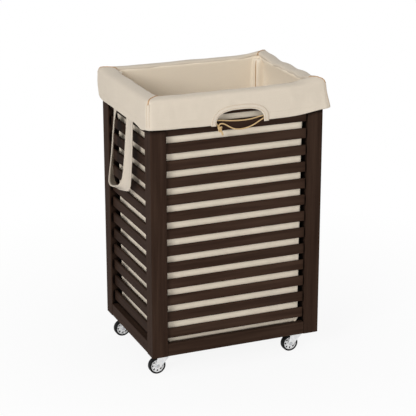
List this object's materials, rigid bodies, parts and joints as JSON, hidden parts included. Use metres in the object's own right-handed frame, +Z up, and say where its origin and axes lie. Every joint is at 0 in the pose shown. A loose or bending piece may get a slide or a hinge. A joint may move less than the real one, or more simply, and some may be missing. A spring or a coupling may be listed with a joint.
{
  "type": "rolling laundry hamper",
  "caption": "Slatted dark wood laundry hamper on swivel casters, with a lift-out canvas liner folded over the rim, side carry straps and a drawstring at a front notch.",
  "frame": {"origin": "centre of the plan on the floor under the wheels", "axes": "+Z up, -Y is the front with the drawstring notch, +X to the right seen from the front"},
  "size_m": [0.4484, 0.3441, 0.6633],
  "materials": {
    "dark_wood": "satin espresso stain",
    "base_board": "matt stained board",
    "beech": "bare dowel",
    "zinc_steel": "zinc plated",
    "grey_plastic": "moulded",
    "black_tyre": "soft rubber",
    "canvas": "cotton canvas",
    "webbing": "stitched canvas strap",
    "drawstring": "twisted cotton"
  },
  "bodies": {
    "frame": {"post_fl": "dark_wood", "post_fr": "dark_wood", "post_rl": "dark_wood", "post_rr": "dark_wood", "slats_front": "dark_wood", "top_rail_front": "dark_wood", "bottom_rail_front": "dark_wood", "slats_rear": "dark_wood", "top_rail_rear": "dark_wood", "bottom_rail_rear": "dark_wood", "slats_left": "dark_wood", "top_rail_left": "dark_wood", "bottom_rail_left": "dark_wood", "slats_right": "dark_wood", "top_rail_right": "dark_wood", "bottom_rail_right": "dark_wood", "rail_dowels": "beech", "base_battens": "dark_wood", "base_panel": "base_board", "base_screws": "zinc_steel", "caster_balls": "zinc_steel", "caster_screws": "zinc_steel", "caster_fl_plate": "zinc_steel", "caster_fl_kingpin": "zinc_steel", "caster_fr_plate": "zinc_steel", "caster_fr_kingpin": "zinc_steel", "caster_rl_plate": "zinc_steel", "caster_rl_kingpin": "zinc_steel", "caster_rr_plate": "zinc_steel", "caster_rr_kingpin": "zinc_steel"},
    "caster_fl_swivel": {"caster_fl_fork": "zinc_steel", "caster_fl_axle": "zinc_steel"},
    "caster_fl_wheel": {"caster_fl_hub": "grey_plastic", "caster_fl_tyre": "black_tyre"},
    "caster_fr_swivel": {"caster_fr_fork": "zinc_steel", "caster_fr_axle": "zinc_steel"},
    "caster_fr_wheel": {"caster_fr_hub": "grey_plastic", "caster_fr_tyre": "black_tyre"},
    "caster_rl_swivel": {"caster_rl_fork": "zinc_steel", "caster_rl_axle": "zinc_steel"},
    "caster_rl_wheel": {"caster_rl_hub": "grey_plastic", "caster_rl_tyre": "black_tyre"},
    "caster_rr_swivel": {"caster_rr_fork": "zinc_steel", "caster_rr_axle": "zinc_steel"},
    "caster_rr_wheel": {"caster_rr_hub": "grey_plastic", "caster_rr_tyre": "black_tyre"},
    "liner": {"liner_bag": "canvas", "cuff_front": "canvas", "cuff_rear": "canvas", "cuff_left": "canvas", "cuff_right": "canvas", "notch_facing": "canvas", "drawstring_strand": "drawstring", "drawstring_loop": "drawstring", "drawstring_tail": "drawstring", "drawstring_knot": "drawstring", "drawstring_hem_run": "drawstring"},
    "strap_left": {"strap_left": "webbing"},
    "strap_right": {"strap_right": "webbing"}
  },
  "joints": [
    {"name": "caster_fl_swivel_turn", "type": "hinge", "parent": "frame", "child": "caster_fl_swivel", "pos_m": [-0.17, -0.12, 0.045], "axis": [0, 0, 1], "continuous": true},
    {"name": "caster_fl_wheel_roll", "type": "hinge", "parent": "caster_fl_swivel", "child": "caster_fl_wheel", "pos_m": [-0.186, -0.12, 0.02], "axis": [0, 1, 0], "continuous": true},
    {"name": "caster_fr_swivel_turn", "type": "hinge", "parent": "frame", "child": "caster_fr_swivel", "pos_m": [0.17, -0.12, 0.045], "axis": [0, 0, 1], "continuous": true},
    {"name": "caster_fr_wheel_roll", "type": "hinge", "parent": "caster_fr_swivel", "child": "caster_fr_wheel", "pos_m": [0.154, -0.12, 0.02], "axis": [0, 1, 0], "continuous": true},
    {"name": "caster_rl_swivel_turn", "type": "hinge", "parent": "frame", "child": "caster_rl_swivel", "pos_m": [-0.17, 0.12, 0.045], "axis": [0, 0, 1], "continuous": true},
    {"name": "caster_rl_wheel_roll", "type": "hinge", "parent": "caster_rl_swivel", "child": "caster_rl_wheel", "pos_m": [-0.186, 0.12, 0.02], "axis": [0, 1, 0], "continuous": true},
    {"name": "caster_rr_swivel_turn", "type": "hinge", "parent": "frame", "child": "caster_rr_swivel", "pos_m": [0.17, 0.12, 0.045], "axis": [0, 0, 1], "continuous": true},
    {"name": "caster_rr_wheel_roll", "type": "hinge", "parent": "caster_rr_swivel", "child": "caster_rr_wheel", "pos_m": [0.154, 0.12, 0.02], "axis": [0, 1, 0], "continuous": true},
    {"name": "liner_lift", "type": "slide", "parent": "frame", "child": "liner", "axis": [0, 0, 1], "range_m": [0, 0.62]},
    {"name": "strap_left_swing", "type": "hinge", "parent": "liner", "child": "strap_left", "pos_m": [-0.223, 0, 0.5973], "axis": [0, 1, 0], "range_deg": [0, 165]},
    {"name": "strap_right_swing", "type": "hinge", "parent": "liner", "child": "strap_right", "pos_m": [0.223, 0, 0.5973], "axis": [0, -1, 0], "range_deg": [0, 165]}
  ]
}
